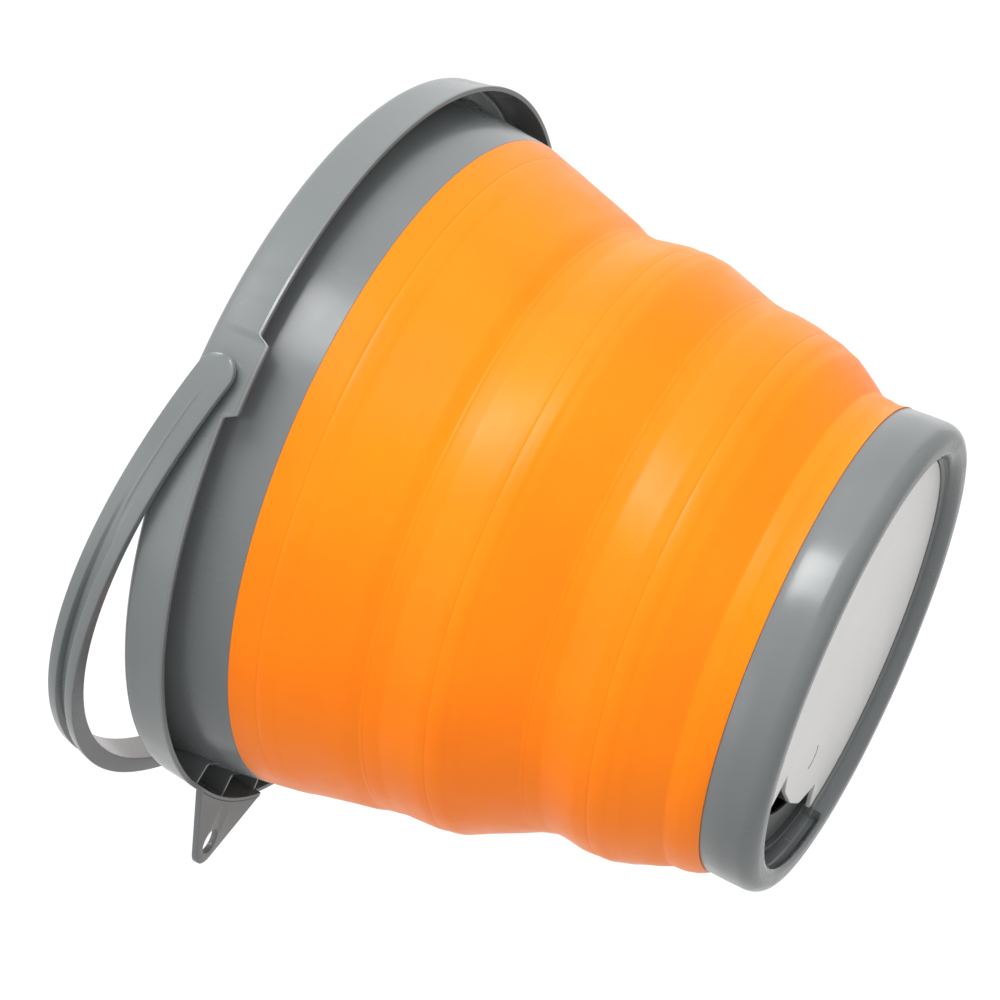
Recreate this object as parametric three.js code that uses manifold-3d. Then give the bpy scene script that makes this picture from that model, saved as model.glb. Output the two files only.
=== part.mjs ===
// Folding camping bucket: a soft wall of nesting bands between a rigid rim with a bail and a rigid base.
// Millimetres, +Z up. The bail's pivots lie along X and the hang tab points along -Y.
// Every piece is drawn about the bucket's own axis; the group then moves along +Y, so that the origin is
// under the middle of the whole footprint, on the plane that the base's foot stands on.
import * as THREE from 'three';
import { mergeVertices } from 'three/addons/utils/BufferGeometryUtils.js';
import Module from 'manifold-3d';

const wasm = await Module();
wasm.setup();

// ---- driving dimensions ----
const SIDES = 48; // flats around every turned ring
const GAP = 0.3; // clearance between pieces that touch
const WALL_THICK = 2.2;

const JOINT_RADIUS = 142; // where the soft wall leaves the rim
const JOINT_Z = 202.2;
const BASE_TOP_RADIUS = 98.5; // where the soft wall meets the base
const BASE_TOP_Z = 23;

const SKIRT_LOW_RADIUS = 157.4;
const SKIRT_TOP_RADIUS = 155.4;
const SKIRT_LOW_Z = 221.8;
const SKIRT_THICK = 1.8;
const COLLAR_THICK = 2.4;

const PIVOT_Z = 229.8;
const STUD_RADIUS = 4;
const BAIL_HALF_SPAN = 161.2; // pivot to the axis, at the strap's outer face
const BAIL_REACH = 171; // pivot axis to the grip's outer face
const BAIL_ANGLE = THREE.MathUtils.degToRad(15.4); // above the rim, on the tab's side

const FOOT_RADIUS = 91.7;
const FOOT_HEIGHT = 7.1;
const BASE_RING_THICK = 2.6;
const PANEL_RADIUS = 84.3;
const PANEL_LOW = 7;
const PANEL_HIGH = 9;
const FLOOR_RADIUS = 93.2;
const FLOOR_LOW = 12.2;
const FLOOR_HIGH = 14.4;

const POCKET_SPREAD = 42.6; // degrees each side of -Y
const POCKET_RADIUS = 82.6;
const POCKET_TOP = 25.6;
const POCKET_THICK = 1.6;
const TONGUE_RADIUS = 72; // the panel's edge that bulges into the finger pocket
const TONGUE_EDGE = 61; // the axis to the tongue's tip

// The wall's outline from the rim down to the base: [height, outer radius], crease by crease.
const CREASES = {
  topBand: [[202.2, 142], [189.5, 138.9]],
  upperFold: [[189.2, 138.8], [182, 137.3], [157, 130.1], [150.8, 127.5]],
  upperBand: [[150.5, 127.4], [144, 126.3], [128, 126.9], [120.7, 126.1]],
  middleFold: [[120.4, 126], [114, 124.1], [100.8, 118.2], [91.2, 114.8]],
  lowerBand: [[90.9, 114.7], [84, 113.2], [70, 113.1], [59.6, 111.4]],
  lowerFold: [[59.3, 111.3], [52, 109], [42, 103.8], [37.2, 100.8]],
  bottomBand: [[36.9, 100.6], [33, 99.4], [23.3, 98.5]],
};

// ---- materials ----
const greyPlastic = (shade = 0x7f8486) =>
  new THREE.MeshStandardMaterial({ color: shade, roughness: 0.38, metalness: 0 });
const orangeRubber = () =>
  new THREE.MeshStandardMaterial({ color: 0xff8f1f, roughness: 0.5, metalness: 0 });
const palePanel = () =>
  new THREE.MeshStandardMaterial({ color: 0xcfcdca, roughness: 0.45, metalness: 0 });

// ---- geometry helpers ----
// Points on an ellipse's arc, both ends included.
function arc(x, y, radiusX, radiusY, fromDegrees, toDegrees, steps) {
  return Array.from({ length: steps + 1 }, (_, i) => {
    const angle = THREE.MathUtils.degToRad(fromDegrees + ((toDegrees - fromDegrees) * i) / steps);
    return [x + radiusX * Math.cos(angle), y + radiusY * Math.sin(angle)];
  });
}

function signedVolume(geometry) {
  const points = geometry.attributes.position;
  const corners = geometry.index.array;
  const [a, b, c] = [new THREE.Vector3(), new THREE.Vector3(), new THREE.Vector3()];
  let six = 0;
  for (let i = 0; i < corners.length; i += 3) {
    a.fromBufferAttribute(points, corners[i]);
    b.fromBufferAttribute(points, corners[i + 1]);
    c.fromBufferAttribute(points, corners[i + 2]);
    six += a.dot(b.cross(c));
  }
  return six / 6;
}

// One closed shell with shared corners, no collapsed triangles and faces that point out.
function closed(geometry) {
  geometry.deleteAttribute('normal');
  geometry.deleteAttribute('uv');
  const merged = mergeVertices(geometry, 1e-3);
  const kept = [];
  const corners = merged.index.array;
  for (let i = 0; i < corners.length; i += 3) {
    const [a, b, c] = [corners[i], corners[i + 1], corners[i + 2]];
    if (a !== b && b !== c && c !== a) kept.push(a, b, c);
  }
  merged.setIndex(kept);
  if (signedVolume(merged) < 0) merged.setIndex(kept.reverse());
  return merged;
}

function toManifold(geometry) {
  const shell = closed(geometry);
  const mesh = new wasm.Mesh({
    numProp: 3,
    vertProperties: new Float32Array(shell.attributes.position.array),
    triVerts: new Uint32Array(shell.index.array),
  });
  return new wasm.Manifold(mesh);
}

function fromManifold(solid) {
  const mesh = solid.getMesh();
  const geometry = new THREE.BufferGeometry();
  geometry.setAttribute('position', new THREE.BufferAttribute(mesh.vertProperties, 3));
  geometry.setIndex(new THREE.BufferAttribute(mesh.triVerts, 1));
  return geometry;
}

// A section of [radius, height] points turned about Z.
function turned(section) {
  const points = section.map(([radius, height]) => new THREE.Vector2(radius, height));
  points.push(points[0].clone());
  return closed(new THREE.LatheGeometry(points, SIDES).rotateX(Math.PI / 2));
}

// A flat outline of [x, y] points, with round holes, as a plate between two heights.
function plate(outline, low, high, holes = []) {
  const shape = new THREE.Shape(outline.map(([x, y]) => new THREE.Vector2(x, y)));
  for (const hole of holes) {
    shape.holes.push(new THREE.Path(hole.map(([x, y]) => new THREE.Vector2(x, y))));
  }
  const block = new THREE.ExtrudeGeometry(shape, { depth: high - low, bevelEnabled: false });
  return closed(block.translate(0, 0, low));
}

// ---- rim ----
const COLLAR_TOP_RADIUS = 147.3; // outside of the collar, at the bottom of the lip's corner
const COLLAR_TOP_Z = 237;
const LIP_UNDERSIDE_Z = 239.2;
const LIP_CORNER = 4;

// Collar, rounded lip and skirt in one section: an upside-down U with a short and a long leg.
function rimShell() {
  const skirtInside = SKIRT_TOP_RADIUS - SKIRT_THICK;
  const cornerZ = COLLAR_TOP_Z + 0.5;
  const innerCornerRadius = COLLAR_TOP_RADIUS + 1.6;
  const chamfer = 1.4;
  const section = [
    [SKIRT_LOW_RADIUS, SKIRT_LOW_Z],
    [SKIRT_TOP_RADIUS, COLLAR_TOP_Z - 0.2],
    ...arc(SKIRT_TOP_RADIUS - LIP_CORNER, cornerZ, LIP_CORNER, LIP_CORNER, 10, 90, 3),
    ...arc(innerCornerRadius, cornerZ, LIP_CORNER, LIP_CORNER, 90, 175, 3),
    [JOINT_RADIUS - COLLAR_THICK, JOINT_Z + GAP],
    [JOINT_RADIUS, JOINT_Z + GAP],
    [COLLAR_TOP_RADIUS, COLLAR_TOP_Z],
    [COLLAR_TOP_RADIUS + chamfer, LIP_UNDERSIDE_Z],
    [skirtInside - chamfer, LIP_UNDERSIDE_Z],
    [skirtInside, COLLAR_TOP_Z],
    [SKIRT_LOW_RADIUS - SKIRT_THICK, SKIRT_LOW_Z],
  ];
  let shell = toManifold(turned(section));
  for (const side of [1, -1]) {
    const hole = new THREE.CylinderGeometry(STUD_RADIUS + 0.4, STUD_RADIUS + 0.4, 8, 24);
    hole.rotateZ(Math.PI / 2).translate(side * 156, 0, PIVOT_Z);
    shell = shell.subtract(toManifold(hole));
  }
  return fromManifold(shell);
}

// The skirt hangs a little lower under each pivot, with rounded steps at both ends.
function pivotLug(side) {
  const halfWidth = 15;
  const drop = 3;
  const low = SKIRT_LOW_Z - GAP - drop;
  const high = SKIRT_LOW_Z - GAP;
  const corner = 2;
  const spread = THREE.MathUtils.radToDeg(halfWidth / SKIRT_LOW_RADIUS);
  const inside = arc(0, 0, SKIRT_LOW_RADIUS - SKIRT_THICK, SKIRT_LOW_RADIUS - SKIRT_THICK, spread, -spread, 8);
  const outside = arc(0, 0, SKIRT_LOW_RADIUS, SKIRT_LOW_RADIUS, -spread, spread, 8);
  const band = toManifold(plate([...outside, ...inside], low, high));
  const front = [
    ...arc(halfWidth - corner, low + corner, corner, corner, 0, -90, 4),
    ...arc(corner - halfWidth, low + corner, corner, corner, -90, -180, 4),
    [-halfWidth, high + 1],
    [halfWidth, high + 1],
  ];
  const trim = plate(front.reverse(), 0, 200).rotateX(Math.PI / 2).rotateZ(Math.PI / 2);
  const lug = fromManifold(band.intersect(toManifold(trim)));
  return side > 0 ? lug : lug.rotateZ(Math.PI);
}

const HANG_HOLE_RADIUS = 5.35;
const HANG_HOLE_Y = -174.5;
const TAB_TIP = 185; // from the bucket's axis
const TAB_THICK = 3;

// A flat triangle with a round tip and a hole, standing out from the skirt's lower edge.
function hangTab() {
  const rootRadius = SKIRT_LOW_RADIUS + GAP;
  const rootSpread = 14;
  const tipRadius = 9;
  const tipY = tipRadius - TAB_TIP;
  const cornerX = rootRadius * Math.sin(THREE.MathUtils.degToRad(rootSpread));
  const cornerY = -rootRadius * Math.cos(THREE.MathUtils.degToRad(rootSpread));
  const reach = Math.hypot(cornerX, cornerY - tipY);
  const slant = Math.atan2(cornerY - tipY, cornerX) - Math.acos(tipRadius / reach);
  const flank = THREE.MathUtils.radToDeg(slant);
  const root = arc(0, 0, rootRadius, rootRadius, -90 + rootSpread, -90 - rootSpread, 10);
  const tip = arc(0, tipY, tipRadius, tipRadius, -180 - flank, flank, 10);
  const hole = arc(0, HANG_HOLE_Y, HANG_HOLE_RADIUS, HANG_HOLE_RADIUS, 0, 345, 23);
  return plate([...root, ...tip], SKIRT_LOW_Z, SKIRT_LOW_Z + TAB_THICK, [hole]);
}

// A thin upright web across the channel between the collar and the skirt.
function rimRib(degrees) {
  const halfThick = 0.75;
  const low = SKIRT_LOW_Z + 0.1;
  const shoulder = COLLAR_TOP_Z - 1;
  const high = LIP_UNDERSIDE_Z - 0.5;
  const collarFlare = (COLLAR_TOP_RADIUS - JOINT_RADIUS) / (COLLAR_TOP_Z - JOINT_Z);
  const skirtFlare = (SKIRT_LOW_RADIUS - SKIRT_TOP_RADIUS) / (COLLAR_TOP_Z - SKIRT_LOW_Z);
  const collarAt = (z) => JOINT_RADIUS + collarFlare * (z - JOINT_Z) + GAP + 0.25;
  const skirtAt = (z) => SKIRT_LOW_RADIUS - SKIRT_THICK - skirtFlare * (z - SKIRT_LOW_Z) - GAP - 0.6;
  const profile = [
    [collarAt(low), low],
    [skirtAt(low), low],
    [skirtAt(shoulder), shoulder],
    [skirtAt(shoulder) - 1, high],
    [collarAt(shoulder) + 1.5, high],
    [collarAt(shoulder), shoulder],
  ];
  const web = plate(profile, -halfThick, halfThick).rotateX(Math.PI / 2);
  return web.rotateZ(THREE.MathUtils.degToRad(degrees));
}

// ---- soft wall ----
// A band of the wall: its outer outline, and the same outline moved in by the wall's thickness.
function wallBand(outline) {
  const outer = outline.map(([height, radius]) => [radius, height]);
  const inner = outline.map(([height, radius]) => [radius - WALL_THICK, height]).reverse();
  return turned([...outer, ...inner]);
}

// The top band carries a tongue that lines the inside of the rim's collar.
function wallTopBand() {
  const outer = CREASES.topBand.map(([height, radius]) => [radius, height]);
  const [edgeRadius, edgeHeight] = outer.at(-1);
  const collarInside = JOINT_RADIUS - COLLAR_THICK;
  const tongueTop = JOINT_Z + 11.8;
  const section = [
    ...outer,
    [edgeRadius - WALL_THICK, edgeHeight],
    [collarInside - 1.9, JOINT_Z + 0.6],
    [collarInside - GAP, tongueTop],
    [collarInside + 1.3, tongueTop],
    [collarInside - GAP - 0.1, JOINT_Z],
  ];
  return turned(section);
}

// The bottom band carries a tongue that lines the inside of the base ring.
function wallBottomBand() {
  const outer = CREASES.bottomBand.map(([height, radius]) => [radius, height]);
  const [edgeRadius, edgeHeight] = outer[0];
  const ringInside = BASE_TOP_RADIUS - BASE_RING_THICK;
  const tongueLow = FLOOR_HIGH + 0.4;
  const section = [
    ...outer,
    [ringInside - GAP, BASE_TOP_Z + GAP],
    [ringInside - GAP - 0.1, tongueLow],
    [ringInside - 2.3, tongueLow],
    [ringInside - 2.1, 25],
    [ringInside + 0.3, 30.5],
    [edgeRadius - WALL_THICK, edgeHeight],
  ];
  return turned(section);
}

// ---- base ----
// The ring's side wall, its rounded foot, hollow inside, and a step that carries the floor.
function baseRing() {
  const footHalfWidth = 7.1;
  const flatHalfWidth = 1.5;
  const cornerRadius = footHalfWidth - flatHalfWidth;
  const grooveRadius = 4.5;
  const innerWall = FOOT_RADIUS - footHalfWidth;
  const stepZ = FLOOR_LOW - GAP;
  const section = [
    [BASE_TOP_RADIUS, BASE_TOP_Z],
    [BASE_TOP_RADIUS + 0.4, 2 * FOOT_HEIGHT],
    ...arc(FOOT_RADIUS + flatHalfWidth, FOOT_HEIGHT, cornerRadius, FOOT_HEIGHT, 0, -90, 5),
    ...arc(FOOT_RADIUS - flatHalfWidth, FOOT_HEIGHT, cornerRadius, FOOT_HEIGHT, -90, -180, 5),
    [innerWall, stepZ],
    [FOOT_RADIUS - grooveRadius, stepZ],
    ...arc(FOOT_RADIUS, FOOT_HEIGHT, grooveRadius, grooveRadius, 180, 360, 5),
    [BASE_TOP_RADIUS - BASE_RING_THICK, BASE_TOP_Z],
  ];
  return turned(section);
}

// Where a line through the axis at this angle from -Y meets a circle centred on the Y axis.
function rayMeetsCircle(degreesFromY, centreY, radius) {
  const angle = THREE.MathUtils.degToRad(degreesFromY);
  const along = -Math.cos(angle) * centreY;
  const reach = along + Math.sqrt(along * along + radius * radius - centreY * centreY);
  return [reach * Math.sin(angle), -reach * Math.cos(angle)];
}

// The finger pocket's outline: the ring's side, two radial ends and the bulging tongue, grown by a margin.
function pocketOutline(margin, ring = POCKET_RADIUS + margin) {
  const tongue = TONGUE_RADIUS - margin;
  const centreY = TONGUE_RADIUS - TONGUE_EDGE;
  const spread = POCKET_SPREAD + THREE.MathUtils.radToDeg(margin / (POCKET_RADIUS + margin));
  const [cornerX, cornerY] = rayMeetsCircle(spread, centreY, tongue);
  const end = THREE.MathUtils.radToDeg(Math.atan2(cornerY - centreY, cornerX));
  return [
    ...arc(0, 0, ring, ring, -90 - spread, -90 + spread, 20),
    ...arc(0, centreY, tongue, tongue, end, -180 - end, 14),
  ];
}

// A round plate with a hole in the shape of the finger pocket.
function pocketedDisc(radius, low, high, opening) {
  const disc = new THREE.CylinderGeometry(radius, radius, high - low, SIDES).rotateX(Math.PI / 2);
  const blank = toManifold(disc.translate(0, 0, (low + high) / 2));
  return fromManifold(blank.subtract(toManifold(plate(opening, low - 2, high + 2))));
}

// The pale plate underneath: the pocket's opening runs out through its edge.
function basePanel() {
  return pocketedDisc(PANEL_RADIUS, PANEL_LOW, PANEL_HIGH, pocketOutline(0, PANEL_RADIUS + 2.4));
}

function baseFloor() {
  return pocketedDisc(FLOOR_RADIUS, FLOOR_LOW, FLOOR_HIGH, pocketOutline(POCKET_THICK + GAP));
}

// The pocket's hood: open underneath, so that fingers hook into the base from below.
function fingerPocket() {
  const hood = toManifold(plate(pocketOutline(POCKET_THICK), PANEL_HIGH + GAP, POCKET_TOP));
  const hollow = toManifold(plate(pocketOutline(0), PANEL_HIGH - 1, POCKET_TOP - POCKET_THICK));
  return fromManifold(hood.subtract(hollow));
}

// ---- bail ----
const STRAP_THICK = 2.8; // at the pivots
const BOSS_RADIUS = 7.5;

// The strap's outer edge in the bail's own plane, from one pivot (angle 0) over the grip to the other.
function bailPoint(angle) {
  const power = 2 / 1.94;
  const x = BAIL_HALF_SPAN * Math.sign(Math.cos(angle)) * Math.abs(Math.cos(angle)) ** power;
  return new THREE.Vector2(x, BAIL_REACH * Math.abs(Math.sin(angle)) ** power);
}

// One cross-section of the strap: flat at the pivots, a deeper channel with two ridges towards the grip.
function bailSection(angle) {
  const rise = Math.sin(angle) ** 2;
  const halfWidth = BOSS_RADIUS - 0.8 * rise;
  const depth = STRAP_THICK + 5 * rise;
  const groove = 2.6 * THREE.MathUtils.smoothstep(Math.sin(angle), 0.35, 0.7);
  const [grooveHalf, bottomHalf] = [3.4, 2];
  const step = 0.01;
  const ahead = bailPoint(Math.min(angle + step, Math.PI));
  const tangent = ahead.sub(bailPoint(Math.max(angle - step, 0))).normalize();
  const outward = new THREE.Vector2(tangent.y, -tangent.x);
  const edge = bailPoint(angle);
  const profile = [
    [0, -halfWidth],
    [0, -grooveHalf],
    [groove, -bottomHalf],
    [groove, bottomHalf],
    [0, grooveHalf],
    [0, halfWidth],
    [depth, halfWidth],
    [depth, -halfWidth],
  ];
  return profile.map(([inward, across]) => [edge.x - outward.x * inward, edge.y - outward.y * inward, across]);
}

function bail() {
  const sections = 36;
  const corners = 8;
  const positions = [];
  const triangles = [];
  for (let i = 0; i <= sections; i += 1) {
    // even steps along the strap, from inside one boss to inside the other
    const angle = Math.PI * (0.008 + (0.984 * i) / sections);
    for (const [x, reach, across] of bailSection(angle)) positions.push(x, -reach, across);
  }
  for (let i = 0; i < sections; i += 1) {
    for (let j = 0; j < corners; j += 1) {
      const [a, b] = [i * corners + j, i * corners + ((j + 1) % corners)];
      triangles.push(a, b, a + corners, b, b + corners, a + corners);
    }
  }
  // the strap's flat ends, each as a fan from its last corner
  const last = sections * corners;
  for (let j = 0; j < corners - 2; j += 1) {
    triangles.push(corners - 1, j + 1, j);
    triangles.push(last + corners - 1, last + j, last + j + 1);
  }
  const strap = new THREE.BufferGeometry();
  strap.setAttribute('position', new THREE.Float32BufferAttribute(positions, 3));
  strap.setIndex(triangles);
  let solid = toManifold(strap);
  for (const side of [1, -1]) {
    const boss = new THREE.CylinderGeometry(BOSS_RADIUS, BOSS_RADIUS, STRAP_THICK, 32).rotateZ(Math.PI / 2);
    boss.translate(side * (BAIL_HALF_SPAN - STRAP_THICK / 2), 0, 0);
    solid = solid.add(toManifold(boss));
  }
  return fromManifold(solid);
}

// The stud that turns in the skirt's hole, with its head inside the skirt.
function pivotStud(side) {
  const headRadius = STUD_RADIUS + 1.6;
  const headStart = 151.6; // from the axis
  const headEnd = headStart + 1.4;
  const tip = BAIL_HALF_SPAN - STRAP_THICK - GAP;
  const section = [
    [0, headStart],
    [headRadius, headStart],
    [headRadius, headEnd],
    [STUD_RADIUS, headEnd],
    [STUD_RADIUS, tip],
    [0, tip],
  ];
  const points = section.map(([radius, along]) => new THREE.Vector2(radius, along));
  return closed(new THREE.LatheGeometry(points, 24).rotateZ((-side * Math.PI) / 2));
}

// ---- assembly ----
const group = new THREE.Group();

function add(parent, name, geometry, material) {
  const mesh = new THREE.Mesh(geometry, material);
  mesh.name = name;
  parent.add(mesh);
}

add(group, 'rim_shell', rimShell(), greyPlastic());
add(group, 'pivot_lug_right', pivotLug(1), greyPlastic());
add(group, 'pivot_lug_left', pivotLug(-1), greyPlastic());
add(group, 'hang_tab', hangTab(), greyPlastic());
[-79, -91, -103].forEach((degrees, i) => add(group, `rim_rib_${i + 1}`, rimRib(degrees), greyPlastic()));

add(group, 'wall_top_band', wallTopBand(), orangeRubber());
add(group, 'wall_upper_fold', wallBand(CREASES.upperFold), orangeRubber());
add(group, 'wall_upper_band', wallBand(CREASES.upperBand), orangeRubber());
add(group, 'wall_middle_fold', wallBand(CREASES.middleFold), orangeRubber());
add(group, 'wall_lower_band', wallBand(CREASES.lowerBand), orangeRubber());
add(group, 'wall_lower_fold', wallBand(CREASES.lowerFold), orangeRubber());
add(group, 'wall_bottom_band', wallBottomBand(), orangeRubber());

add(group, 'base_ring', baseRing(), greyPlastic());
add(group, 'base_panel', basePanel(), palePanel());
add(group, 'base_floor', baseFloor(), greyPlastic());
add(group, 'finger_pocket', fingerPocket(), greyPlastic(0x55585a));

// The bail and its studs turn about the X axis through the pivots.
const bailGroup = new THREE.Group();
bailGroup.position.set(0, 0, PIVOT_Z);
bailGroup.rotation.x = -BAIL_ANGLE;
add(bailGroup, 'bail_handle', bail(), greyPlastic());
add(bailGroup, 'pivot_stud_right', pivotStud(1), greyPlastic());
add(bailGroup, 'pivot_stud_left', pivotStud(-1), greyPlastic());
group.add(bailGroup);

group.position.y = (TAB_TIP - SKIRT_LOW_RADIUS) / 2;

export default group;
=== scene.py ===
import math

import bmesh
import bpy
import numpy as np
from mathutils import Matrix, Vector


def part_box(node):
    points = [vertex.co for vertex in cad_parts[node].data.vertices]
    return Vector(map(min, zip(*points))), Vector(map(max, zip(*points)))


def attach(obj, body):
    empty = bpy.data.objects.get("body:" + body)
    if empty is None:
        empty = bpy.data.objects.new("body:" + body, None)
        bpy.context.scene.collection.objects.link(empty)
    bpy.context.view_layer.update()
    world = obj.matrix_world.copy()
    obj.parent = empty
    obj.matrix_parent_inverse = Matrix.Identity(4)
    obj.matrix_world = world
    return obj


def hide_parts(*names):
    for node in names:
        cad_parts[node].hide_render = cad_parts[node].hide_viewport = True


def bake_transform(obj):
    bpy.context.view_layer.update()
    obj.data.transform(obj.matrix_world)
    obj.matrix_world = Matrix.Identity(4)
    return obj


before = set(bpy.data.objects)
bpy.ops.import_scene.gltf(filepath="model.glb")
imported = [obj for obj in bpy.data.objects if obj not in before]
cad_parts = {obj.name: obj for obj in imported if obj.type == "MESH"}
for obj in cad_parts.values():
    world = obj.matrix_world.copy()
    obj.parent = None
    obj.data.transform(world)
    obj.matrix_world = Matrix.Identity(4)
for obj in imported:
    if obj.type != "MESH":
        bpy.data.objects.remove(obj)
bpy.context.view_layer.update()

# ---- driving dimensions, mm ----
MM = 0.001
low_corner, high_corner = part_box("wall_top_band")
AXIS = Vector((0, (low_corner.y + high_corner.y) / 2, 0))  # the bucket's own axis, m
COLUMNS = 256  # flats around a turned piece

WALL_THICK = 2.2
WALL_ROW = 0.8  # between two rows of the wall's mesh
UPPER_SEAM = 136.0  # heights where one visual piece of the wall meets the next
LOWER_SEAM = 75.0

SKIRT_LOW = (157.4, 221.8)  # radius and height of the skirt's lower edge
PIVOT_Z = 229.8
LUG_HALF_WIDTH = 15.0
LUG_DROP = 4.8
LUG_END = 3.5  # length of the S-shaped step at each end of a lug
TAB_AZIMUTH = -91.2  # degrees
TAB_SPREAD = 12.3  # degrees each side
TAB_TIP = 185.4
TAB_TIP_RADIUS = 9.0
HANG_HOLE = (175.2, 5.35)  # distance from the axis, and radius
RIB_ANGLES = (-79, -91, -103)
RIB_THICK = 1.5
TAB_LOW = 218.8
TAB_HIGH = 221.6

BAIL_HALF_SPAN = 161.2  # from the bucket's axis to the strap's outside at the pivots
BAIL_REACH = 171.0
BAIL_HALF_WIDTH = 7.5
BAIL_ANGLE = math.radians(15.4)  # above the horizontal
PARTING_RIDGE = 0.22
CHANNEL_DEPTH = 2.8

POCKET_ENDS = (-133.5, -70.5)  # degrees
POCKET_RADIUS = 82.6
POCKET_THICK = 1.6
PANEL_RADIUS = 84.4
PANEL_LOW, PANEL_HIGH = 7, 9
FLOOR_RADIUS = 93.2
FLOOR_LOW, FLOOR_HIGH = 12.2, 14.4
# The edge of the panel's tongue, which bulges into the finger pocket, as (x, y, fillet).
TONGUE = [
    (17.9, -51.4, 0.8), (8, -58.2, 9), (-12, -61.6, 12), (-30, -60.8, 10), (-42, -54.4, 4),
    (-48.2, -50.9, 1.2),
]

# The soft wall's outside: straight facets between creases, as (radius, height, fillet).
WALL_CREASES = [
    (141.9, 202.45, 0), (138.9, 190, 3), (130.0, 157, 10), (127.4, 150.6, 3), (126.2, 143, 6),
    (127.0, 128, 6), (126.0, 119.5, 3), (124.4, 114, 4), (119.0, 100.8, 10), (114.8, 91, 3),
    (113.2, 84, 6), (113.1, 70, 6), (111.4, 59.5, 3), (109, 52, 5), (103.9, 42, 8), (100.8, 36.5, 3),
    (100.3, 31, 4), (99.4, 26, 3), (98.8, 22.8, 0),
]
# Fine grooves and ridges round the wall, as (height, half width, how proud).
WALL_LINES = [
    (191.0, 0.45, -0.16), (124.5, 0.45, -0.15), (64.0, 0.45, -0.15), (150.3, 0.6, 0.16), (90.8, 0.6, 0.16),
]
# Low raised bands round the wall, in the same way.
WALL_BANDS = [(187.0, 3.0, 0.12), (120.6, 2.6, 0.12), (60.1, 2.6, 0.12), (33.0, 3.0, 0.1)]
BAND_EDGE = (0.6, 1.4)  # a band's edge slopes between these shares of its half width
# The soft wall leans to and fro between its folds: (height, how far its middle is from the axis along Y).
WALL_SWAY = [
    (202.45, 0), (190, -1), (178, -1.7), (166, -2.5), (157, -3.2), (148, -3.7), (140, -3), (130, -1.8),
    (120, -0.6), (112, 0.9), (100, 1.6), (88, 2.2), (80, 2.4), (70, 1), (60, 0.2), (50, 0), (42, -1),
    (34, -1.8), (27, -1.5), (22.8, 0),
]


# ---- mesh helpers ----
def share_between(value, low, high):
    return min(1.0, max(0.0, (value - low) / (high - low)))


def smoothstep(value, low, high):
    t = share_between(value, low, high)
    return t * t * (3 - 2 * t)


def mesh_object(name, points, faces, material, sharp_degrees=32):
    """A piece from points in millimetres about the bucket's axis."""
    mesh = bpy.data.meshes.new(name)
    mesh.from_pydata([Vector(p) * MM + AXIS for p in points], [], faces)
    return finish_mesh(name, mesh, material, sharp_degrees)


def finish_mesh(name, mesh, material, sharp_degrees=32):
    """Welds, points the faces outwards, smooths all but the sharp edges and links the object."""
    weld_distance = 2e-6
    cleaner = bmesh.new()
    cleaner.from_mesh(mesh)
    bmesh.ops.remove_doubles(cleaner, verts=cleaner.verts, dist=weld_distance)
    bmesh.ops.recalc_face_normals(cleaner, faces=cleaner.faces)
    cleaner.to_mesh(mesh)
    cleaner.free()
    mesh.polygons.foreach_set("use_smooth", [True] * len(mesh.polygons))
    mesh.set_sharp_from_angle(angle=math.radians(sharp_degrees))
    mesh.materials.append(material)
    piece = bpy.data.objects.new(name, mesh)
    bpy.context.scene.collection.objects.link(piece)
    return piece


def rounded(corners, steps=5):
    """A closed outline of (x, y, fillet) corners, each corner turned into a curve of steps + 1 points."""
    outline = []
    count = len(corners)
    for i, (x, y, radius) in enumerate(corners):
        here = Vector((x, y))
        before = Vector(corners[i - 1][:2]) - here
        after = Vector(corners[(i + 1) % count][:2]) - here
        half_angle = before.angle(after) / 2
        if half_angle > math.radians(89.5) or radius <= 0:
            outline += [(x, y)] * (steps + 1)
            continue
        reach = min(radius / math.tan(half_angle), 0.49 * min(before.length, after.length))
        start = here + before.normalized() * reach
        end = here + after.normalized() * reach
        for step in range(steps + 1):
            t = step / steps
            # a quadratic curve that leaves each side along it
            point = start * (1 - t) ** 2 + here * 2 * t * (1 - t) + end * t**2
            outline.append((point.x, point.y))
    return outline


def arc(x, y, radius_x, radius_y, from_degrees, to_degrees, steps):
    turn = to_degrees - from_degrees
    angles = [math.radians(from_degrees + turn * i / steps) for i in range(steps + 1)]
    return [(x + radius_x * math.cos(a), y + radius_y * math.sin(a)) for a in angles]


def even_angles(count=COLUMNS):
    return [2 * math.pi * i / count for i in range(count)]


def loop_faces(rows, columns, closed_rows=True):
    """Quads over a grid of rows of points around closed columns."""
    faces = []
    for i in range(rows if closed_rows else rows - 1):
        for j in range(columns):
            a, b = i * columns + j, i * columns + (j + 1) % columns
            c, d = (i + 1) % rows * columns + (j + 1) % columns, (i + 1) % rows * columns + j
            faces.append((a, b, c, d))
    return faces


def turned(name, section, material, angles=None, shape=None):
    """A closed section of (radius, height) turned about Z; shape() may move each point."""
    angles = angles or even_angles()
    points = []
    for radius, height in section:
        for angle in angles:
            r, z = shape(radius, height, angle) if shape else (radius, height)
            points.append((r * math.cos(angle), r * math.sin(angle), z))
    return mesh_object(name, points, loop_faces(len(section), len(angles)), material)


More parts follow.
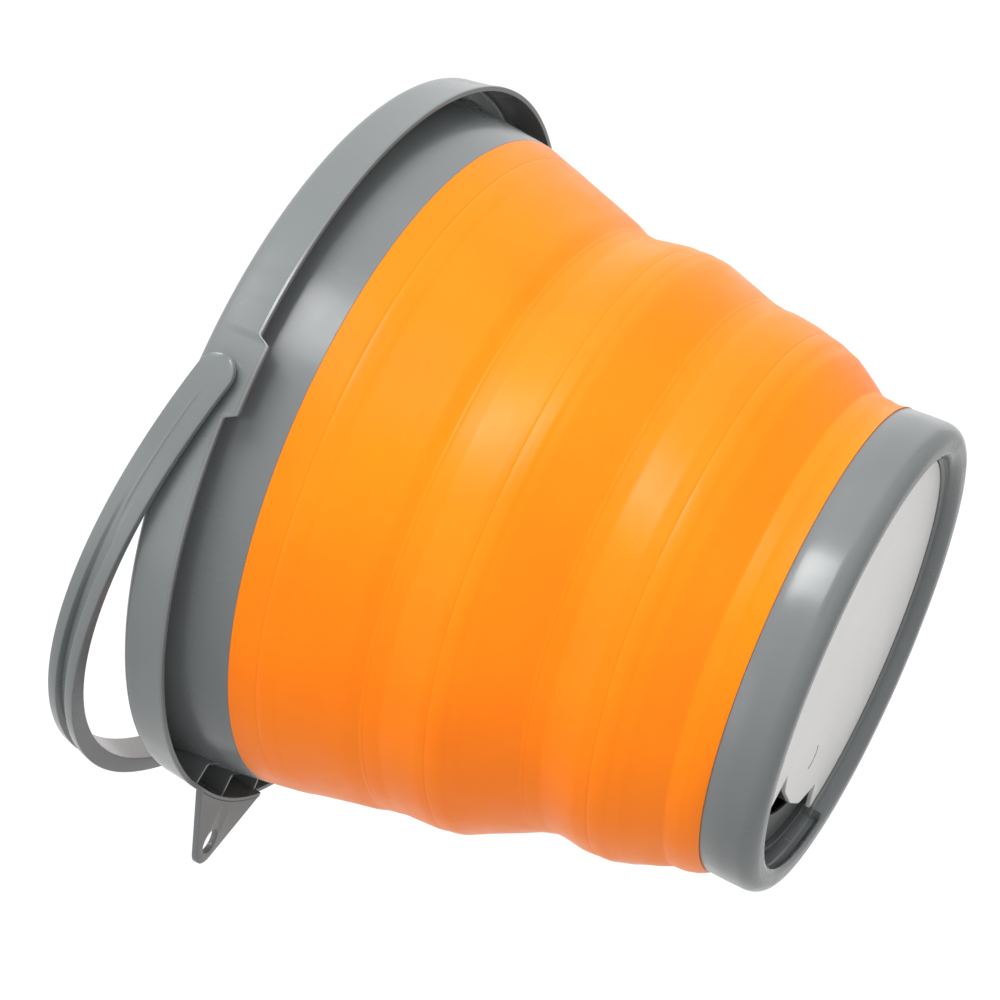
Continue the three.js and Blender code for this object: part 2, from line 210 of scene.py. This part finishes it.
def plate(name, outlines, low, high, bevel, material):
    """A flat plate between two heights, with bevelled edges; outlines after the first are holes."""
    curve = bpy.data.curves.new(name, "CURVE")
    curve.dimensions = "2D"
    curve.fill_mode = "BOTH"
    curve.extrude = (high - low) * MM / 2 - bevel * MM
    curve.bevel_depth = bevel * MM
    curve.bevel_resolution = 3
    curve.offset = -bevel * MM
    for outline in outlines:
        spline = curve.splines.new("POLY")
        spline.points.add(len(outline) - 1)
        for point, (x, y) in zip(spline.points, outline):
            point.co = (x * MM, y * MM, 0, 1)
        spline.use_cyclic_u = True
    holder = bpy.data.objects.new(name + "_curve", curve)
    bpy.context.scene.collection.objects.link(holder)
    bpy.context.view_layer.update()
    mesh = bpy.data.meshes.new_from_object(holder.evaluated_get(bpy.context.evaluated_depsgraph_get()))
    bpy.data.objects.remove(holder)
    mesh.transform(Matrix.Translation(AXIS + Vector((0, 0, (low + high) / 2 * MM))))
    return finish_mesh(name, mesh, material)


# ---- materials ----
def new_material(name):
    material = bpy.data.materials.new(name)
    material.use_nodes = True
    return material, material.node_tree.nodes, material.node_tree.links


def noise(nodes, links, coordinates, scale, detail=2.0, stretch=(1, 1, 1)):
    """Noise in the object's own metres: scale is in features a metre."""
    mapping = nodes.new("ShaderNodeMapping")
    mapping.inputs["Scale"].default_value = stretch
    links.new(coordinates, mapping.inputs["Vector"])
    texture = nodes.new("ShaderNodeTexNoise")
    texture.inputs["Scale"].default_value = scale
    texture.inputs["Detail"].default_value = detail
    links.new(mapping.outputs["Vector"], texture.inputs["Vector"])
    return texture.outputs["Fac"]


def voronoi_distance(nodes, links, coordinates, scale):
    """Distance to the nearest of scattered points: scale is in points a metre."""
    texture = nodes.new("ShaderNodeTexVoronoi")
    texture.inputs["Scale"].default_value = scale
    links.new(coordinates, texture.inputs["Vector"])
    return texture.outputs["Distance"]


def ramp(nodes, links, value, low, high, to_low, to_high):
    remap = nodes.new("ShaderNodeMapRange")
    remap.inputs["From Min"].default_value = low
    remap.inputs["From Max"].default_value = high
    remap.inputs["To Min"].default_value = to_low
    remap.inputs["To Max"].default_value = to_high
    links.new(value, remap.inputs["Value"])
    return remap.outputs["Result"]


def mix_colours(nodes, links, factor, first, second):
    """Between two fixed colours, by a factor."""
    mix = nodes.new("ShaderNodeMix")
    mix.data_type = "RGBA"
    mix.inputs["A"].default_value = (*first, 1)
    mix.inputs["B"].default_value = (*second, 1)
    links.new(factor, mix.inputs["Factor"])
    return mix.outputs["Result"]


def add_bump(nodes, links, height, millimetres, before=None):
    """Bumps of this height, on top of the normals from before."""
    bump = nodes.new("ShaderNodeBump")
    bump.inputs["Strength"].default_value = 1.0
    bump.inputs["Distance"].default_value = millimetres * MM
    links.new(height, bump.inputs["Height"])
    if before is not None:
        links.new(before, bump.inputs["Normal"])
    return bump.outputs["Normal"]


DUST = (0.42, 0.41, 0.4, 1)


def moulded_plastic(name, colour, variation, roughness, peel, grain):
    """Injection-moulded plastic: flow clouds, peel and grain heights in mm, smears and dust specks."""
    material, nodes, links = new_material(name)
    shader = nodes["Principled BSDF"]
    place = nodes.new("ShaderNodeTexCoord").outputs["Object"]
    clouds = noise(nodes, links, place, 22, 3)
    lighter = [min(1.0, c * (1 + variation)) for c in colour]
    darker = [c * (1 - variation) for c in colour]
    base = mix_colours(nodes, links, ramp(nodes, links, clouds, 0.3, 0.7, 0, 1), darker, lighter)
    dust = ramp(nodes, links, voronoi_distance(nodes, links, place, 160), 0.012, 0.03, 0.14, 0)
    dusty = nodes.new("ShaderNodeMix")
    dusty.data_type = "RGBA"
    dusty.inputs["B"].default_value = DUST
    links.new(base, dusty.inputs["A"])
    links.new(dust, dusty.inputs["Factor"])
    links.new(dusty.outputs["Result"], shader.inputs["Base Color"])
    smears = noise(nodes, links, place, 55, 4, (1, 1, 0.4))
    skin = ramp(nodes, links, smears, 0.3, 0.7, roughness - 0.05, roughness + 0.07)
    links.new(skin, shader.inputs["Roughness"])
    normal = add_bump(nodes, links, noise(nodes, links, place, 130, 1), peel)
    normal = add_bump(nodes, links, noise(nodes, links, place, 1500, 2), grain, normal)
    links.new(normal, shader.inputs["Normal"])
    shader.inputs["IOR"].default_value = 1.49
    return material


def soft_rubber(name):
    """Thermoplastic rubber: soft swells, stretch lines round the wall, small nubs and a satin skin."""
    material, nodes, links = new_material(name)
    shader = nodes["Principled BSDF"]
    place = nodes.new("ShaderNodeTexCoord").outputs["Object"]
    clouds = noise(nodes, links, place, 16, 3)
    deeper, lighter = (0.97, 0.196, 0.0006), (0.99, 0.222, 0.001)
    colour = mix_colours(nodes, links, ramp(nodes, links, clouds, 0.3, 0.7, 0, 1), deeper, lighter)
    links.new(colour, shader.inputs["Base Color"])
    smears = noise(nodes, links, place, 40, 4, (1, 1, 2))
    links.new(ramp(nodes, links, smears, 0.3, 0.7, 0.3, 0.42), shader.inputs["Roughness"])
    normal = add_bump(nodes, links, noise(nodes, links, place, 34, 2), 0.2)
    stretch_lines = noise(nodes, links, place, 9, 3, (1, 1, 22))
    normal = add_bump(nodes, links, stretch_lines, 0.1, normal)
    normal = add_bump(nodes, links, noise(nodes, links, place, 1100, 2), 0.02, normal)
    nubs = ramp(nodes, links, voronoi_distance(nodes, links, place, 45), 0.0, 0.035, 1, 0)
    normal = add_bump(nodes, links, nubs, 0.12, normal)
    links.new(normal, shader.inputs["Normal"])
    shader.inputs["Subsurface Weight"].default_value = 0.06
    shader.inputs["Subsurface Radius"].default_value = (0.006, 0.0016, 0.0004)
    shader.inputs["Subsurface Scale"].default_value = 1.0
    shader.inputs["IOR"].default_value = 1.47
    shader.inputs["Specular IOR Level"].default_value = 0.2
    return material


def plain(name, colour, roughness):
    """A matt surface with a very faint change of tone."""
    material, nodes, links = new_material(name)
    shader = nodes["Principled BSDF"]
    place = nodes.new("ShaderNodeTexCoord").outputs["Object"]
    tone = noise(nodes, links, place, 3, 2)
    darker = [c * 0.985 for c in colour]
    links.new(mix_colours(nodes, links, tone, darker, colour), shader.inputs["Base Color"])
    shader.inputs["Roughness"].default_value = roughness
    return material


grey = moulded_plastic("grey_plastic", (0.14, 0.151, 0.153), 0.03, 0.22, 0.03, 0.0015)
# The panel is the same grey plastic as the rest; its pale colour is painted sheen, standing in for grazing
# reflection.
pale = moulded_plastic("pale_panel", (0.74, 0.735, 0.72), 0.015, 0.42, 0.02, 0.02)
# Near-black plastic for the unlit inside of the finger pocket and the gate slit: painted shade, not the
# parts' own colour.
shade = moulded_plastic("dark_plastic", (0.06, 0.062, 0.064), 0.03, 0.36, 0.03, 0.0015)
orange = soft_rubber("orange_rubber")


# ---- soft wall ----
def smooth_outline(points, spacing):
    """Points along a Catmull-Rom curve through the outline, about spacing apart along its first value."""
    inner = [np.array(point) for point in points]
    knots = [2 * inner[0] - inner[1], *inner, 2 * inner[-1] - inner[-2]]
    curve = []
    for i in range(1, len(knots) - 2):
        before, a, b, after = knots[i - 1 : i + 3]
        steps = max(2, round(abs(a[0] - b[0]) / spacing))
        for step in range(steps):
            t = step / steps
            curve.append(0.5 * (2 * a + (b - before) * t + (2 * before - 5 * a + 4 * b - after) * t**2
                                + (3 * a - before - 3 * b + after) * t**3))
    curve.append(knots[-2])
    return np.array(curve)


wall_line = np.array(rounded(WALL_CREASES, 8))
sway_line = smooth_outline(WALL_SWAY, 2)
WALL_TOP, WALL_FOOT = WALL_CREASES[0][1], WALL_CREASES[-1][1]


def wall_radius(height):
    """The wall's outside, with its fine lines and bands."""
    radius = float(np.interp(height, wall_line[::-1, 1], wall_line[::-1, 0]))
    for at_height, half_width, proud in WALL_LINES:
        away = (height - at_height) / half_width
        radius += proud * math.exp(-away * away)
    for at_height, half_width, proud in WALL_BANDS:
        radius += proud * (1 - smoothstep(abs(height - at_height) / half_width, *BAND_EDGE))
    return radius


def wall_point(radius, height, angle):
    """A point of the soft wall: round but for slow ripples, creases that wander a little, and the sway."""
    fade = share_between(height - 26, 0, 18) * share_between(198 - height, 0, 20)
    ripple = 0.3 * math.sin(3 * angle + height / 19) + 0.18 * math.sin(5 * angle - height / 11 + 1)
    wander = 0.55 * math.sin(2 * angle + height / 40) + 0.3 * math.sin(5 * angle + 2 + height / 60)
    r = radius + ripple * fade
    sway = float(np.interp(height, sway_line[::-1, 0], sway_line[::-1, 1]))
    return r * math.cos(angle), r * math.sin(angle) + sway, height + wander * fade


def wall_heights(top, bottom):
    """Rows from the top down, closer together across the fine relief."""
    extra = []
    for at_height, half_width, _ in WALL_LINES:
        extra += [at_height + half_width * step / 2 for step in range(-4, 5)]
    for at_height, half_width, _ in WALL_BANDS:
        for share in (0.6, 0.8, 1.0, 1.2, 1.4):
            extra += [at_height - half_width * share, at_height + half_width * share]
    heights = set(np.linspace(top, bottom, round((top - bottom) / WALL_ROW) + 1))
    heights.update(z for z in extra if bottom + 0.1 < z < top - 0.1)
    return sorted(heights, reverse=True)


def wall_piece(name, top, bottom):
    """The wall between two heights, as a closed skin of even thickness."""
    outer = [(wall_radius(z), z) for z in wall_heights(top, bottom)]
    inner = [(r - WALL_THICK, z) for r, z in reversed(outer)]
    angles = even_angles()
    points = [wall_point(r, z, angle) for r, z in outer + inner for angle in angles]
    faces = loop_faces(len(outer + inner), len(angles))
    return mesh_object(name, points, faces, orange, sharp_degrees=50)


wall_top = wall_piece("soft_wall_top", WALL_TOP, UPPER_SEAM)
wall_middle = wall_piece("soft_wall_middle", UPPER_SEAM, LOWER_SEAM)
wall_low = wall_piece("soft_wall_low", LOWER_SEAM, WALL_FOOT)
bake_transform(wall_top)
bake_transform(wall_middle)
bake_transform(wall_low)
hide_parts("wall_top_band", "wall_upper_fold", "wall_upper_band")
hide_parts("wall_middle_fold", "wall_lower_band")
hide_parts("wall_lower_fold", "wall_bottom_band")


# ---- rim ----
def rim_angles():
    """Even columns, with extra ones across the steps at the ends of the lugs and of the tab."""
    angles = set(even_angles(288))
    for pivot in (0, math.pi):
        for side in (1, -1):
            for step in range(-6, 7):
                across = LUG_HALF_WIDTH + step * LUG_END / 12
                angles.add((pivot + side * across / SKIRT_LOW[0]) % (2 * math.pi))
    for step in range(-3, 4):
        angles.add(math.radians(360 + TAB_AZIMUTH - TAB_SPREAD + step * 0.08))
    return sorted(angles)


def skirt_drop(angle):
    """How far the skirt's edge hangs below its usual height: at the lugs, and along the tab."""
    across = min(angle, abs(angle - math.pi), 2 * math.pi - angle) * SKIRT_LOW[0]
    lug = 1 - smoothstep(across, LUG_HALF_WIDTH - LUG_END / 2, LUG_HALF_WIDTH + LUG_END / 2)
    from_tab = math.degrees(angle) - 360 - TAB_AZIMUTH
    sharp_end = smoothstep(from_tab, -TAB_SPREAD - 0.2, -TAB_SPREAD + 0.2)
    slow_end = 1 - smoothstep(from_tab, TAB_SPREAD - 1, TAB_SPREAD + 3.5)
    return LUG_DROP * lug + (SKIRT_LOW[1] - TAB_LOW) * (sharp_end * slow_end)


def rim_shape(radius, height, angle):
    """Lowers the skirt's edge, and the skirt above it less and less."""
    on_skirt = radius > 152
    share = share_between(SKIRT_LOW[1] + 8 - height, 0, 6) if on_skirt else 0
    return radius, height - skirt_drop(angle) * share


# The rim's section as (radius, height, fillet): the skirt's beaded edge, the lip and the collar.
RIM_CORNERS = [
    (157.6, 221.8, 0.4), (157.6, 223.1, 0.3), (157.2, 223.4, 0.2), (155.6, 235, 0), (155.0, 241.5, 4.2),
    (145.0, 241.5, 4.2), (142.8, 228, 0), (139.6, 202.5, 0.5), (142.0, 202.5, 0.25), (147.2, 239.2, 1.6),
    (153.4, 239.2, 1.6), (153.9, 235, 0), (155.6, 221.8, 0.4),
]
rim = turned("rim_moulding", rounded(RIM_CORNERS, 6), grey, rim_angles(), rim_shape)
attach(rim, "rim")
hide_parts("rim_shell", "pivot_lug_right", "pivot_lug_left")


def hang_tab_outline():
    """A triangle from the skirt to a round tip; its root follows the skirt."""
    root = SKIRT_LOW[0] - 0.9
    tip_y = TAB_TIP_RADIUS - TAB_TIP
    spread = math.radians(TAB_SPREAD)
    corner = Vector((root * math.sin(spread), -root * math.cos(spread)))
    reach = math.hypot(corner.x, corner.y - tip_y)
    flank = math.degrees(math.atan2(corner.y - tip_y, corner.x) - math.acos(TAB_TIP_RADIUS / reach))
    root_side = arc(0, 0, root, root, -90 + TAB_SPREAD, -90 - TAB_SPREAD, 24)
    return root_side + arc(0, tip_y, TAB_TIP_RADIUS, TAB_TIP_RADIUS, -180 - flank, flank, 20)


def turn_outline(outline, degrees):
    turn = Matrix.Rotation(math.radians(degrees), 2)
    return [tuple(turn @ Vector(point)) for point in outline]


hang_hole = arc(0, -HANG_HOLE[0], HANG_HOLE[1], HANG_HOLE[1], 0, 352.5, 47)
tab_outlines = [turn_outline(outline, TAB_AZIMUTH + 90) for outline in (hang_tab_outline(), hang_hole)]
tab = plate("hang_tab_looks", tab_outlines, TAB_LOW, TAB_HIGH, 0.45, grey)
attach(tab, "rim")
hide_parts("hang_tab")


def rim_rib(name, degrees):
    """A thin web across the channel, with a small flare down the collar."""
    corners = [(143.6, 216.4, 0.2), (146.4, 221.6, 2), (155.7, 222.0, 0.2), (154.0, 236.5, 0.4),
               (151.6, 239.3, 0.4), (148.6, 239.3, 0.4), (146.8, 236.5, 0.4)]
    profile = rounded(corners, 4)
    half = RIB_THICK / 2
    points = [(x, side * half, z) for side in (1, -1) for x, z in profile]
    count = len(profile)
    faces = [tuple(range(count)), tuple(reversed(range(count, 2 * count)))]
    faces += [(i, (i + 1) % count, count + (i + 1) % count, count + i) for i in range(count)]
    turn = Matrix.Rotation(math.radians(degrees), 3, "Z")
    return mesh_object(name, [turn @ Vector(p) for p in points], faces, grey)


for number, degrees in enumerate(RIB_ANGLES, 1):
    rib = rim_rib(f"rim_rib_{number}_looks", degrees)
    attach(rib, "rim")
    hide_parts(f"rim_rib_{number}")


# ---- base ----
def base_ring_section():
    """The side wall, the rounded foot, a small step in front of the panel and the groove above the foot."""
    outer_foot = arc(93.2, 7.1, 5.8, 7.1, 0, -90, 14)
    inner_foot = arc(90.2, 5.6, 4.5, 5.6, -90, -180, 14)
    groove = arc(91.7, 7.1, 4.3, 4.5, 180, 360, 10)
    side = [(97.9, 23), (98.3, 22.9), (98.5, 22.6), (98.9, 14)]
    step = [(85.55, 5.8), (84.8, 6.2), (84.6, 6.5), (84.6, 11.9), (87.2, 11.9)]
    return [*side, *outer_foot, *inner_foot, *step, *groove, (95.9, 23)]


def ring_shape(radius, height, angle):
    """The inside of the foot is cut back along the finger pocket, most at its edge."""
    cut = 4.5
    foot_middle, foot_half_width = 93.2, 8.6
    degrees = math.degrees(angle) - 360
    past_start = smoothstep(degrees, POCKET_ENDS[0] - 2, POCKET_ENDS[0])
    before_end = 1 - smoothstep(degrees, POCKET_ENDS[1], POCKET_ENDS[1] + 2)
    inwards = max(0, (foot_middle - radius) / foot_half_width)
    return radius + cut * (past_start * before_end * smoothstep(height, 0.8, 4) * inwards), height


base = turned("base_ring_looks", base_ring_section(), grey, shape=ring_shape)
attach(base, "base")
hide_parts("base_ring")


def pocket_outline():
    """The finger pocket: the ring's side, two radial ends and the tongue that bulges into it."""
    ring_side = arc(0, 0, POCKET_RADIUS, POCKET_RADIUS, *POCKET_ENDS, 48)
    return ring_side + tongue_edge()


def tongue_edge():
    """The tongue's edge from the pocket's +X end to its -X end, filleted."""
    steps = 6
    ends = []
    for degrees in reversed(POCKET_ENDS):
        angle = math.radians(degrees)
        ends.append((POCKET_RADIUS * math.cos(angle), POCKET_RADIUS * math.sin(angle), 0))
    return rounded([ends[0], *TONGUE, ends[1]], steps)[steps + 1 : -steps - 1]


def grown(outline, margin):
    """An outline that runs anticlockwise, moved outwards by a margin."""
    points = []
    for i, point in enumerate(outline):
        if (Vector(point) - Vector(outline[i - 1])).length > 1e-3:
            points.append(Vector(point))
    moved = []
    for i, point in enumerate(points):
        into = (point - points[i - 1]).normalized()
        out_of = (points[(i + 1) % len(points)] - point).normalized()
        normal = Vector((into.y + out_of.y, -into.x - out_of.x)).normalized()
        moved.append(tuple(point + normal * margin))
    return moved


def panel_outline():
    """The panel, painted pale for its sheen: a disc whose edge is cut back to the tongue along the pocket."""
    disc = arc(0, 0, PANEL_RADIUS, PANEL_RADIUS, POCKET_ENDS[1], POCKET_ENDS[0] + 360, 150)
    return disc + list(reversed(tongue_edge()))


# Painted sheen: the panel's pale colour stands in for grazing reflection.
panel = plate("base_panel_looks", [panel_outline()], PANEL_LOW, PANEL_HIGH, 0.35, pale)
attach(panel, "base")
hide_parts("base_panel")

floor_disc = arc(0, 0, FLOOR_RADIUS, FLOOR_RADIUS, 0, 357.5, 143)
floor_hole = grown(pocket_outline(), POCKET_THICK + 0.3)
floor_plate = plate("base_floor_looks", [floor_disc, floor_hole], FLOOR_LOW, FLOOR_HIGH, 0.2, grey)
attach(floor_plate, "base")
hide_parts("base_floor")

hood = grown(pocket_outline(), POCKET_THICK)
# The pocket's side, lid and ledge are near-black: painted shade inside the recess.
pocket_side = plate("finger_pocket_side", [hood, pocket_outline()], 8.9, 24.2, 0.2, shade)
pocket_lid = plate("finger_pocket_lid", [hood], 24.0, 25.6, 0.3, shade)
ledge_outline = arc(0, 0, 82.4, 82.4, -132, -72, 40) + arc(0, 0, 69, 69, -72, -132, 40)
pocket_ledge = plate("finger_pocket_ledge", [ledge_outline], 11.2, 12.8, 0.5, shade)
# The gate slit is a thin near-black arc: painted shade in the slit.
gate_outline = arc(-14, -41.5, 5.9, 5.9, 115, 240, 16) + arc(-14, -41.5, 5.2, 5.2, 240, 115, 16)
gate_mark = plate("panel_gate_mark", [gate_outline], PANEL_LOW - 0.1, PANEL_LOW + 0.6, 0.05, shade)
for piece in (pocket_side, pocket_lid, pocket_ledge, gate_mark):
    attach(piece, "base")
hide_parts("finger_pocket")


# ---- bail ----
def bail_point(angle):
    """The strap's outside as a slightly slack ellipse, from one pivot at 0 to the other at pi."""
    power = 2 / 1.94
    cosine, sine = math.cos(angle), math.sin(angle)
    along = BAIL_HALF_SPAN * math.copysign(abs(cosine) ** power, cosine)
    return Vector((along, BAIL_REACH * abs(sine) ** power))


def bail_section(angle):
    """The strap across: a parting ridge near the pivots, two flat ridges and a channel at the grip."""
    rise = math.sin(angle) ** 2
    half_width = BAIL_HALF_WIDTH - 0.8 * rise
    depth = 2.8 + 5 * rise
    along = math.sin(angle)
    channel = CHANNEL_DEPTH * smoothstep(along, 0.3, 0.72)
    ridge = PARTING_RIDGE * (1 - smoothstep(along, 0.3, 0.5)) * smoothstep(along, 0.05, 0.1)
    lip = 0.55
    corners = [
        (0, -half_width, lip), (0, -2.5, lip), (channel, -1.3, 0.4), (channel, -0.35, 0),
        (channel - ridge, 0, 0), (channel, 0.35, 0), (channel, 1.3, 0.4), (0, 2.5, lip), (0, half_width, lip),
        (depth, half_width, 0.5), (depth, -half_width, 0.5),
    ]
    return rounded(corners, 4)


def bail_ring(angle, past_end=0.0, share=1.0):
    """One section of the strap; past_end carries it beyond the pivot and share narrows the round end."""
    ahead, behind = bail_point(min(angle + 0.01, math.pi)), bail_point(max(angle - 0.01, 0))
    tangent = (ahead - behind).normalized()
    outward = Vector((tangent.y, -tangent.x))
    edge = bail_point(angle)
    ring = []
    for inward, across in bail_section(angle):
        place = edge - outward * inward
        ring.append((place.x, past_end - place.y, across * share))
    return ring


def bail_strap():
    """The strap from one round end, over the pivots, to the other."""
    sections = 220
    end_steps = 16
    end_angle = 0.006 * math.pi
    span = math.pi - 2 * end_angle
    rings = [bail_ring(end_angle + span * i / sections) for i in range(sections + 1)]
    for step in range(1, end_steps + 1):
        turn = math.radians(89.5) * step / end_steps
        past_end = BAIL_HALF_WIDTH * math.sin(turn)
        rings.insert(0, bail_ring(end_angle, past_end, math.cos(turn)))
        rings.append(bail_ring(math.pi - end_angle, past_end, math.cos(turn)))
    count = len(rings[0])
    points = [p for ring in rings for p in ring]
    faces = loop_faces(len(rings), count, closed_rows=False)
    faces += [tuple(range(count)), tuple(reversed(range(len(points) - count, len(points))))]
    return points, faces


def bail_place(point):
    """From the bail's own frame, at its pivots' line, to the bucket's."""
    turn = Matrix.Rotation(-BAIL_ANGLE, 3, "X")
    return turn @ Vector(point) + Vector((0, 0, PIVOT_Z))


def pivot_stud(name, side):
    """A headed stud from the rim to the strap, turned from a section of (radius, distance out)."""
    columns = 36
    reach = BAIL_HALF_SPAN - 2.4
    section = [
        (0.001, 151.6), (5.2, 151.6), (5.6, 152.0), (5.6, 153.0), (4.0, 153.0), (4.0, reach), (0.001, reach),
    ]
    points = []
    for radius, along in section:
        for angle in even_angles(columns):
            points.append(bail_place((side * along, radius * math.cos(angle), radius * math.sin(angle))))
    return mesh_object(name, points, loop_faces(len(section), columns, closed_rows=False), grey)


points, faces = bail_strap()
strap = mesh_object("bail_strap", [bail_place(p) for p in points], faces, grey, sharp_degrees=40)
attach(strap, "bail")
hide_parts("bail_handle")
for side, word in ((1, "right"), (-1, "left")):
    stud = pivot_stud(f"pivot_stud_{word}_looks", side)
    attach(stud, "bail")
    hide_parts(f"pivot_stud_{word}")


# ---- stage, light and camera ----
FLOOR_BELOW = -0.62  # metres; the camera looks at the bucket from below its base


def stage_floor():
    half = 6.0
    corners = [(-half, -half, 0), (half, -half, 0), (half, half, 0), (-half, half, 0)]
    mesh = bpy.data.meshes.new("floor")
    mesh.from_pydata(corners, [], [(0, 1, 2, 3)])
    mesh.materials.append(plain("pale_floor", (0.6, 0.6, 0.6), 0.7))
    floor = bpy.data.objects.new("floor", mesh)
    floor.location = (0, 0, FLOOR_BELOW)
    bpy.context.scene.collection.objects.link(floor)


CAMERA_PLACE = Vector((1.07785, -0.02007, -0.17908))
CAMERA_RIGHT = Vector((-0.26427, 0.40944, -0.87322))
CAMERA_UP = Vector((0.15143, 0.9118, 0.3817))
CAMERA_BACK = Vector((0.95249, -0.03136, -0.30296))
CENTRE = Vector((0, AXIS.y, 0.12))  # what the lamps face
LAMP_DISTANCE = 1.6


def camera():
    data = bpy.data.cameras.new("camera")
    data.sensor_width = 36
    data.lens = 100.1
    data.clip_start = 0.05
    data.clip_end = 50
    data.dof.use_dof = False
    view = bpy.data.objects.new("camera", data)
    turn = Matrix((CAMERA_RIGHT, CAMERA_UP, CAMERA_BACK)).transposed()
    view.matrix_world = Matrix.Translation(CAMERA_PLACE) @ turn.to_4x4()
    bpy.context.scene.collection.objects.link(view)
    bpy.context.scene.camera = view


def softbox(name, right, up, back, width, height, watts):
    """A rectangular lamp that faces the bucket, in a direction given by the camera's right, up and back."""
    data = bpy.data.lights.new(name, "AREA")
    data.shape = "RECTANGLE"
    data.size = width
    data.size_y = height
    data.energy = watts
    lamp = bpy.data.objects.new(name, data)
    direction = (CAMERA_RIGHT * right + CAMERA_UP * up + CAMERA_BACK * back).normalized()
    lamp.location = CENTRE + direction * LAMP_DISTANCE
    lamp.rotation_euler = direction.to_track_quat("Z", "Y").to_euler()
    bpy.context.scene.collection.objects.link(lamp)


def studio_sky():
    """White all round, a little brighter from the camera's up and a little darker from its down."""
    world = bpy.data.worlds.new("studio")
    world.use_nodes = True
    nodes, links = world.node_tree.nodes, world.node_tree.links
    direction = nodes.new("ShaderNodeTexCoord").outputs["Generated"]
    upness = nodes.new("ShaderNodeVectorMath")
    upness.operation = "DOT_PRODUCT"
    upness.inputs[1].default_value = CAMERA_UP
    links.new(direction, upness.inputs[0])
    total = nodes.new("ShaderNodeMath")
    total.operation = "ADD"
    links.new(ramp(nodes, links, upness.outputs["Value"], -1, -0.2, 0.5, 1.06), total.inputs[0])
    links.new(ramp(nodes, links, upness.outputs["Value"], 0.2, 1, 0, 0.3), total.inputs[1])
    links.new(total.outputs[0], nodes["Background"].inputs["Strength"])
    nodes["Background"].inputs["Color"].default_value = (1, 1, 1, 1)
    bpy.context.scene.world = world


bpy.context.scene.view_settings.view_transform = "Standard"
stage_floor()
studio_sky()
softbox("key", -0.34, 0.62, 0.71, width=0.6, height=0.8, watts=18)
softbox("top", 0.1, 0.82, 0.57, width=1.5, height=1.5, watts=3)
softbox("left", -0.95, -0.1, 0.3, width=0.8, height=1.4, watts=2.5)
softbox("right", 0.95, 0.3, 0.1, width=0.8, height=1.4, watts=6)
camera()
